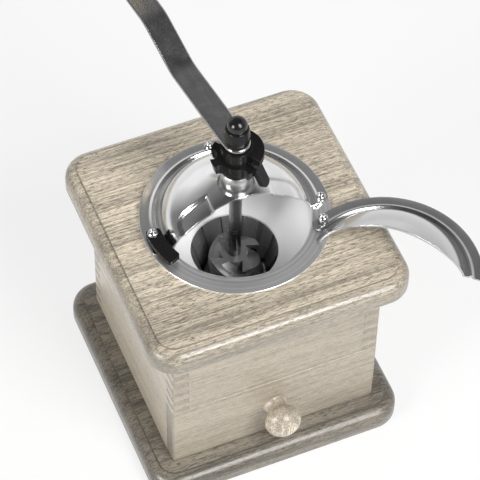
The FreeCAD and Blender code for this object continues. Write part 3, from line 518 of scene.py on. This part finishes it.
def turned_about_pivot(point, angle):
    """Where a point of the lid goes when the lid turns by an angle."""
    turn = Matrix.Rotation(radians(angle), 3, "Z")
    return turn @ (Vector(point) - pivot) + pivot


lid_centre = turned_about_pivot((0, 0, 0), lid_open_angle)
# The top plate gets painted shade on its upright faces, its step's wall and its left edge
top_wood = make_wood("beech_top", "x", painted_upright_shade=0.42, step_level=plate_top - plate_step, front=0.22)
# The base's beech is darker than the top's, partly its own tone and partly painted shade for the shadow
# it lies in
base_wood_and_shade = make_wood("beech_base_and_shade", "x", light=0.24, dark=0.08, offset=170.0,
                      step_level=plate_thickness - plate_step)
# The front boards' beech is darker, partly its own tone and partly painted shade against the lamps' light
# on the front face
front_wood_and_shade = make_wood("beech_front_and_shade", "x", light=0.43, dark=0.25, offset=61.0, streak=0.5, dash=0.4)
side_wood = make_wood("beech_side", "y", light=0.54, dark=0.28, offset=35.0, streak=0.5, dash=0.4)
turned_wood = make_wood("beech_turned", "z", offset=90.0, streak=0.7)
inner_wood = make_wood("beech_inner", "y", light=0.54, dark=0.38, offset=12.0, streak=0.4)
chrome = make_chrome("chrome")
# The lid's chrome is drawn darker than the cover's: painted shade in its reflections
shaded_lid_chrome = make_chrome("chrome_lid_shaded", centre=lid_centre, light=0.62, rough=0.19)
collar_chrome = make_chrome("chrome_collar", light=0.50, rough=0.36, ripple=2.0, depth=0.3)
bowl_chrome = make_bowl_metal("chrome_bowl")
shaft_steel = make_metal("ground_steel", luminance=0.22, roughness=0.24, grain="z", streaks=(0.5, 5, 5))
crank_steel = make_metal("satin_steel", luminance=0.44, roughness=0.26, grain="y", streaks=(30, 0.4, 0.4),
                         polished=0.35)
screw_steel = make_metal("zinc_steel", luminance=0.66, roughness=0.20, grain="x", streaks=(2, 2, 2))
black_plastic = make_plastic("black_moulding", index=1.28)
cap_plastic = make_plastic("black_gloss", index=1.5)
burr_iron = make_iron("blackened_iron")
brass = make_brass("turned_brass")

body_of = {node: body for body, nodes in frame["record"]["behaviour"]["bodies"].items() for node in nodes}


# Mesh helpers

# An edge that turns by more is sharp, and faces that turn by less are made one
sharp_angle = 34.0
flat_angle = 0.5


def polar(radius, angle, level=0.0):
    """A point at a distance from the Z axis, an angle round it and a level."""
    return Vector((radius * cos(radians(angle)), radius * sin(radians(angle)), level))


def arc(centre, radius, start, end, steps):
    """Points of a circular arc in a meridian plane, as (radius, level) pairs."""
    points = []
    for step in range(steps + 1):
        angle = radians(start + (end - start) * step / steps)
        points.append((centre[0] + radius * cos(angle), centre[1] + radius * sin(angle)))
    return points


def joined_rings(mesh, rings, closed=False):
    """Skins a row of rings of points with quads, or triangles where a ring is one point."""
    following = rings[1:] + ([rings[0]] if closed else [])
    for first, second in zip(rings, following):
        steps = max(len(first), len(second))
        for step in range(steps):
            after = (step + 1) % steps
            corners = [first[step % len(first)], first[after % len(first)],
                       second[after % len(second)], second[step % len(second)]]
            corners = list(dict.fromkeys(corners))
            if len(corners) > 2:
                mesh.faces.new(corners)


def lathe(outline, sides, closed=False):
    """A full turn of (radius, level) pairs about an upright axis."""
    mesh = bmesh.new()
    rings = []
    for radius, level in outline:
        count = sides if radius > 1e-6 else 1
        turns = [2 * pi * side / sides for side in range(count)]
        rings.append([mesh.verts.new((radius * cos(turn), radius * sin(turn), level)) for turn in turns])
    joined_rings(mesh, rings, closed)
    return mesh


def piece(name, mesh, material, stands_for):
    """Makes an object of a mesh in millimetres and lets it stand for CAD nodes."""
    bmesh.ops.remove_doubles(mesh, verts=mesh.verts, dist=1e-3)
    bmesh.ops.scale(mesh, vec=(0.001, 0.001, 0.001), verts=mesh.verts)
    bmesh.ops.recalc_face_normals(mesh, faces=mesh.faces)
    for edge in mesh.edges:
        edge.smooth = len(edge.link_faces) != 2 or edge.calc_face_angle(0.0) < radians(sharp_angle)
    for face in mesh.faces:
        face.smooth = True
    data = bpy.data.meshes.new(name)
    mesh.to_mesh(data)
    mesh.free()
    data.materials.append(material)
    made = bpy.data.objects.new(name, data)
    bpy.context.scene.collection.objects.link(made)
    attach(made, body_of[stands_for[0]])
    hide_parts(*stands_for)
    return made


def eased(made, width, angle=40.0, clamp=True):
    """Rounds an object's edges that are sharper than an angle, by a width in millimetres."""
    bevel = made.modifiers.new("eased edges", "BEVEL")
    bevel.width = width / 1000.0
    bevel.segments = 3
    bevel.limit_method = "ANGLE"
    bevel.angle_limit = radians(angle)
    bevel.harden_normals = True
    bevel.use_clamp_overlap = clamp


def refined(node, material, ease=0.25, clamp=True):
    """A CAD node's shape with its flat faces merged and its edges eased."""
    mesh = bmesh.new()
    mesh.from_mesh(frame["nodes"][node].data)
    bmesh.ops.scale(mesh, vec=(1000, 1000, 1000), verts=mesh.verts)
    bmesh.ops.remove_doubles(mesh, verts=mesh.verts, dist=2e-3)
    bmesh.ops.dissolve_limit(mesh, angle_limit=radians(flat_angle), verts=mesh.verts, edges=mesh.edges)
    made = piece(node + "_form", mesh, material, [node])
    if ease:
        eased(made, ease, clamp=clamp)
    return made


def make_cap_nut():
    """The cap nut: a polished ball on a plainer body."""
    made = refined("cap_nut", black_plastic, ease=0.0)
    made.data.materials.append(cap_plastic)
    top = high("cap_nut").z
    seam = top - cap_ball_share * (top - low("cap_nut").z)
    for face in made.data.polygons:
        if face.center.z * 1000.0 > seam:
            face.material_index = 1


def dress(node, material):
    """Gives a CAD node that keeps its own mesh a material."""
    materials = frame["nodes"][node].data.materials
    materials.clear()
    materials.append(material)


# The wooden case

def square_ring(mesh, inset, level):
    """Points round a rounded square, a distance in from the plate's side."""
    corner_steps = 12
    side_steps = 24
    half = 0.5 * plate_side - inset
    radius = max(plate_corner_radius - inset, 0.5)
    points = []
    for corner in range(4):
        turn = 90.0 * corner
        middle = polar((half - radius) * sqrt(2), 45.0 + turn, level)
        for step in range(corner_steps + 1):
            points.append(middle + polar(radius, turn + 90.0 * step / corner_steps))
        side = polar(2 * (half - radius), turn + 180.0)
        start = points[-1]
        for step in range(1, side_steps):
            points.append(start + side * step / side_steps)
    return [mesh.verts.new(point) for point in points]


def plate_rings(mesh, bottom):
    """The plate's rings from its underside to the top of its field."""
    top = bottom + plate_thickness
    shoulder = top - plate_step
    rings = [square_ring(mesh, inset * plate_foot_ease, bottom + rise * plate_foot_ease)
             for inset, rise in ((1.0, 0.0), (0.5, 0.15), (0.15, 0.5), (0.0, 1.0))]
    round_steps = 8
    for step in range(round_steps + 1):
        angle = radians(90.0 * step / round_steps)
        rings.append(square_ring(mesh, plate_round_over * (1 - cos(angle)),
                                 shoulder - plate_round_over * (1 - sin(angle))))
    rings.append(square_ring(mesh, plate_border, shoulder))
    rings.append(square_ring(mesh, plate_border, top - plate_edge_ease))
    rings.append(square_ring(mesh, plate_border + 0.3 * plate_edge_ease, top - 0.3 * plate_edge_ease))
    rings.append(square_ring(mesh, plate_border + plate_edge_ease, top))
    return rings


def make_base_plate():
    """The base plate, whose first and last rings are closed by a face."""
    mesh = bmesh.new()
    rings = plate_rings(mesh, 0.0)
    joined_rings(mesh, rings)
    mesh.faces.new(rings[0])
    mesh.faces.new(rings[-1])
    piece("base_plate_form", mesh, base_wood_and_shade, ["base_plate"])


def make_top_plate():
    """The top plate, whose last two rings are the hole for the bowl."""
    mesh = bmesh.new()
    rings = plate_rings(mesh, body_high)
    outwards = [Vector((vertex.co.x, vertex.co.y, 0)).normalized() for vertex in rings[0]]
    for level in (plate_top, body_high):
        rings.append([mesh.verts.new(outward * plate_hole_radius + Vector((0, 0, level)))
                      for outward in outwards])
    joined_rings(mesh, rings, closed=True)
    piece("top_plate_form", mesh, top_wood, ["top_plate"])


# The hopper and its covers

def dome_level(radius):
    """The height above the plate of the dome's skin at a distance from its axis."""
    share = min(radius / dome_radius, 1.0)
    return dome_base + dome_height * (1 - share ** dome_fullness) ** (1 / dome_fullness)


def flange_outline(top, outer):
    """A flange's upper face from its rim inwards. It falls a little towards its rim."""
    width = outer - bead_outer_radius
    steps = 8
    outline = []
    for step in range(steps + 1):
        radius = outer - width * step / steps
        outline.append((radius, top - flange_dish * ((radius - bead_outer_radius) / width) ** 2))
    return outline


def wall_foot(radius):
    """The angle at which the bowl's wall, an arc of a radius, ends at the throat."""
    return -90 + asin((throat_radius - hopper_wall_centre) / radius) * 180 / pi


def make_hopper_bowl():
    """The bowl: a flange, a rolled lip and a round wall down to the throat."""
    rim_level = flange_top - flange_dish
    outline = [
        (hopper_flange_radius, plate_top),
        (hopper_flange_radius, rim_level - hopper_edge_ease),
        (hopper_flange_radius - hopper_edge_ease, rim_level),
    ]
    outline += flange_outline(flange_top, hopper_flange_radius)[1:]
    lip_centre = (hopper_rim_radius + hopper_lip_radius, lip_level)
    outline += arc(lip_centre, hopper_lip_radius, 90, 180, steps=6)
    wall_centre = (hopper_wall_centre, lip_level)
    back_radius = hopper_wall_radius + sheet
    outline += arc(wall_centre, hopper_wall_radius, 0, wall_foot(hopper_wall_radius), steps=40)[1:]
    outline += arc(wall_centre, back_radius, wall_foot(back_radius), 0, steps=24)
    outline.append((hopper_rim_radius + sheet, plate_top))
    piece("hopper_bowl_form", lathe(outline, bowl_sides, closed=True), bowl_chrome, ["hopper_bowl"])


def smooth_step(value):
    """A soft step from 0 to 1."""
    value = min(max(value, 0.0), 1.0)
    return value * value * (3 - 2 * value)


def panel_mask(x, y):
    """How far a place of the cover is pressed in, from 0 to 1."""
    across = max(panel_inner - abs(x), abs(x) - panel_outer)
    back = y - panel_back
    if abs(x) > panel_outer - panel_corner and back > -panel_corner:
        distance = hypot(abs(x) - panel_outer + panel_corner, back + panel_corner) - panel_corner
    else:
        distance = max(across, back)
    return smooth_step(-distance / panel_wall)


def dome_outline():
    """The upper face of the pressed sheet from the flange's rim in to the seat's hole."""
    outline = flange_outline(cover_top, cover_flange_radius)
    width = bead_outer_radius - bead_inner_radius
    bead_steps = 14
    for step in range(1, bead_steps + 1):
        share = step / bead_steps
        rise = bead_height * sin(pi * share) ** bead_sharpness + bead_foot * smooth_step(2 * share - 1)
        outline.append((bead_outer_radius - width * share, cover_top + rise))
    outline.append((0.5 * (bead_inner_radius + dome_radius), cover_top + bead_foot))
    power = 2.0 / dome_fullness
    first = asin(((cover_top + bead_foot - plate_top - dome_base) / dome_height) ** (1 / power))
    last = acos(((seat_radius + seat_bend) / dome_radius) ** (1 / power))
    dome_steps = 90
    for step in range(dome_steps + 1):
        turn = first + (last - first) * step / dome_steps
        outline.append((dome_radius * cos(turn) ** power,
                        plate_top + dome_base + dome_height * sin(turn) ** power))
    outline.append((seat_radius, seat_level))
    outline.append((collar_spigot_radius, seat_level))
    return outline


def pressed(mesh):
    """Sinks the two side panels of the cover's dome, square to its skin."""
    rim_margin = 0.2
    step = 0.05
    for vertex in mesh.verts:
        x, y, z = vertex.co
        radius = hypot(x, y)
        if seat_radius < radius < dome_radius - rim_margin and z > cover_top + bead_foot:
            slope = (dome_level(radius - step) - dome_level(radius + step)) / (2 * step)
            outward = Vector((x * slope / radius, y * slope / radius, 1.0)).normalized()
            vertex.co -= outward * panel_depth * panel_mask(x, y)


def cut_away(mesh, point, direction):
    """Takes off what lies beyond a point in a direction."""
    geometry = mesh.verts[:] + mesh.edges[:] + mesh.faces[:]
    bmesh.ops.bisect_plane(mesh, geom=geometry, plane_co=point, plane_no=direction, clear_outer=True)


def thickened(made):
    """Gives the sheet its thickness below its upper face and eases its cut edges."""
    solid = made.modifiers.new("sheet", "SOLIDIFY")
    solid.thickness = sheet / 1000.0
    solid.offset = -1.0
    solid.use_even_offset = False
    eased(made, sheet_edge_ease, angle=60.0)


def facing_up(made):
    """Turns the sheet's faces so that they look outwards."""
    mesh = bmesh.new()
    mesh.from_mesh(made.data)
    top = max(mesh.faces, key=lambda face: face.calc_center_median().z)
    if top.normal.z < 0:
        bmesh.ops.reverse_faces(mesh, faces=mesh.faces)
    mesh.to_mesh(made.data)
    mesh.free()


def make_fixed_cover():
    """The back half of the dome, whose flange is cut back aslant at both ends."""
    mesh = lathe(dome_outline(), cover_sides)
    pressed(mesh)
    cut_away(mesh, Vector((0, -cover_front, 0)), Vector((0, -1, 0)))
    bmesh.ops.rotate(mesh, matrix=Matrix.Rotation(radians(cover_turn), 3, "Z"), verts=mesh.verts)
    end = polar(cover_flange_radius, -cover_end_angle)
    for side in (-1, 1):
        away = polar(1.0, side * cover_end_slope - 90.0)
        cut_away(mesh, Vector((side * end.x, end.y, 0)), away)
    made = piece("fixed_cover_form", mesh, chrome, ["fixed_cover"])
    facing_up(made)
    thickened(made)


def past_pivot(face):
    """Whether a face of the shut lid's rim lies between the pivot and the lid's straight edge."""
    middle = face.calc_center_median()
    on_rim = hypot(middle.x, middle.y) > bead_inner_radius
    return on_rim and middle.x > 0 and middle.y / middle.x > pivot.y / pivot.x


def cut_pivot_tab(mesh):
    """Cuts the shut lid's rim past the pivot down to a round tab about the pivot."""
    cuts = 30
    tab = bmesh.ops.split(mesh, geom=[face for face in mesh.faces if past_pivot(face)])["geom"]
    for count in range(cuts):
        direction = polar(1.0, 360.0 * count / cuts)
        cut = bmesh.ops.bisect_plane(mesh, geom=tab, plane_co=pivot + direction * lid_tab_radius,
                                     plane_no=direction, clear_outer=True)
        tab = [item for item in tab + cut["geom_cut"] + cut["geom"] if item.is_valid]
        tab = list(dict.fromkeys(tab))


def make_swing_lid():
    """The front half of the dome, made shut and then turned open about its pivot."""
    mesh = lathe(dome_outline()[:-1] + [(0.0, seat_level)], cover_sides)
    away = polar(1.0, 90.0 + cover_turn)
    cut_away(mesh, away * -(cover_front + lid_gap), away)
    cut_pivot_tab(mesh)
    for vertex in mesh.verts:
        vertex.co = turned_about_pivot(vertex.co, lid_open_angle) + Vector((0, 0, lid_lift))
    made = piece("swing_lid_form", mesh, shaded_lid_chrome, ["swing_lid"])
    facing_up(made)
    thickened(made)


# The studio

def make_world():
    """White behind, a little darker at the right, and dark at the left, in front and overhead."""
    world = bpy.data.worlds.new("studio")
    bpy.context.scene.world = world
    world.use_nodes = True
    tree = world.node_tree
    parts = tree.nodes.new("ShaderNodeSeparateXYZ")
    put(tree, tree.nodes.new("ShaderNodeTexCoord").outputs["Generated"], parts.inputs[0])
    across, along, upward = parts.outputs
    left = spread(tree, across, *world_left_fade, world_left, world_horizon)
    right = spread(tree, across, *world_right_fade, 1.0, world_right)
    front = spread(tree, along, *world_front_fade, world_front, 1.0)
    horizon = calculate(tree, "MULTIPLY", calculate(tree, "MULTIPLY", left, right), front)
    top = spread(tree, along, *world_top_fade, world_front_top, world_back_top)
    lift = spread(tree, across, *world_lift_fade, 0.0, world_right_lift)
    height = calculate(tree, "SUBTRACT", upward, lift)
    height = spread(tree, height, *world_height_fade, 0.0, 1.0)
    change = calculate(tree, "MULTIPLY", height, calculate(tree, "SUBTRACT", top, horizon))
    put(tree, calculate(tree, "ADD", change, horizon), tree.nodes["Background"].inputs["Color"])


def make_lamp(name, direction, share, half_width, half_height):
    """A softbox that gives a level surface a share of its light. Its half sizes are angles."""
    direction = Vector(direction).normalized()
    width = 2.0 * lamp_distance * tan(radians(half_width))
    height = 2.0 * lamp_distance * tan(radians(half_height))
    radiance = share * pi * lamp_distance ** 2 / (width * height * direction.z)
    lamp = bpy.data.lights.new(name, "AREA")
    lamp.shape = "RECTANGLE"
    lamp.size = width
    lamp.size_y = height
    lamp.energy = radiance * pi * width * height
    made = bpy.data.objects.new(name, lamp)
    made.location = direction * lamp_distance + Vector((0, 0, plate_top / 1000.0))
    made.rotation_euler = direction.to_track_quat("Z", "Y").to_euler()
    bpy.context.scene.collection.objects.link(made)


def make_floor():
    """Pale paper that keeps the shadow and looks lit from behind where it is seen."""
    material, tree, shader = new_material("paper_floor")
    cloud = noise(tree, object_place(tree, (400, 400, 400)), 2, 0.5)
    set_colour(tree, shader, cloud, [(0.3, grey(0.88)), (0.7, grey(0.91))])
    shader.inputs["Roughness"].default_value = 0.9
    shader.inputs["Specular IOR Level"].default_value = 0.1
    path = tree.nodes.new("ShaderNodeLightPath")
    seen = calculate(tree, "ADD", path.outputs["Is Camera Ray"], path.outputs["Is Glossy Ray"])
    seen = calculate(tree, "ADD", seen, path.outputs["Is Transmission Ray"])
    glow = tree.nodes.new("ShaderNodeEmission")
    mixed = tree.nodes.new("ShaderNodeMixShader")
    put(tree, calculate(tree, "MULTIPLY", seen, backdrop_share), mixed.inputs[0])
    put(tree, shader.outputs[0], mixed.inputs[1])
    put(tree, glow.outputs[0], mixed.inputs[2])
    put(tree, mixed.outputs[0], tree.nodes["Material Output"].inputs[0])
    half = 4.0
    corners = [(-half, -half, 0), (half, -half, 0), (half, half, 0), (-half, half, 0)]
    data = bpy.data.meshes.new("floor")
    data.from_pydata(corners, [], [(0, 1, 2, 3)])
    data.materials.append(material)
    floor = bpy.data.objects.new("floor", data)
    bpy.context.scene.collection.objects.link(floor)


def make_camera():
    """A camera at the place that the photograph was taken from."""
    forward = Vector((
        -sin(photo_yaw) * cos(photo_pitch),
        cos(photo_yaw) * cos(photo_pitch),
        -sin(photo_pitch),
    ))
    level = Vector((cos(photo_yaw), sin(photo_yaw), 0))
    upward = level.cross(forward)
    right = cos(photo_roll) * level + sin(photo_roll) * upward
    top = cos(photo_roll) * upward - sin(photo_roll) * level
    eye = (photo_aim - forward * photo_distance) / 1000.0
    camera = bpy.data.cameras.new("camera")
    camera.sensor_width = 36.0
    camera.lens = photo_lens
    camera.shift_x = photo_shift_x
    camera.shift_y = photo_shift_y
    camera.clip_end = 50.0
    made = bpy.data.objects.new("camera", camera)
    rows = [(right[axis], top[axis], -forward[axis], eye[axis]) for axis in range(3)]
    made.matrix_world = Matrix(rows + [(0, 0, 0, 1)])
    bpy.context.scene.collection.objects.link(made)
    bpy.context.scene.camera = made


make_base_plate()
make_top_plate()
make_hopper_bowl()
make_fixed_cover()
make_swing_lid()

for name in ("front_panel", "back_panel"):
    refined(name, front_wood_and_shade)
for name in ("left_panel", "right_panel"):
    refined(name, side_wood)
refined("drawer_front", front_wood_and_shade, ease=0.4)
for name in ("drawer_right_side", "drawer_left_side", "drawer_back", "drawer_floor",
             "corner_blocks", "drawer_guides", "drawer_kickers"):
    dress(name, inner_wood)
for name in ("drawer_knob", "crank_knob"):
    refined(name, turned_wood, ease=0.0)
for name in ("cover_screws", "lid_pivot_screw", "lid_pivot_spacer", "base_screws", "drawer_knob_screw",
             "knob_axle", "shaft_clip", "collar_nut", "bearing_bridge"):
    refined(name, screw_steel, ease=0.12)
for name in ("carrier_screws", "bridge_screws", "burr_pin", "burr_spring"):
    dress(name, screw_steel)
for name in ("lid_catch", "star_wheel", "setting_lever"):
    refined(name, black_plastic, ease=0.35)
make_cap_nut()
for name in ("outer_burr", "cone_burr", "burr_carrier"):
    refined(name, burr_iron, ease=0.15)
for name in ("wheel_insert", "lower_bush", "knob_ferrule"):
    dress(name, brass)
refined("shaft", shaft_steel, ease=0.1)
refined("shaft_collar", collar_chrome, ease=0.1)
refined("crank_arm", crank_steel, ease=1.1, clamp=False)

make_world()
make_lamp("key", key_direction, key_share, half_width=12.0, half_height=18.0)
make_lamp("fill", fill_direction, fill_share, half_width=10.0, half_height=12.0)
make_floor()
make_camera()
bpy.context.scene.view_settings.view_transform = "Standard"
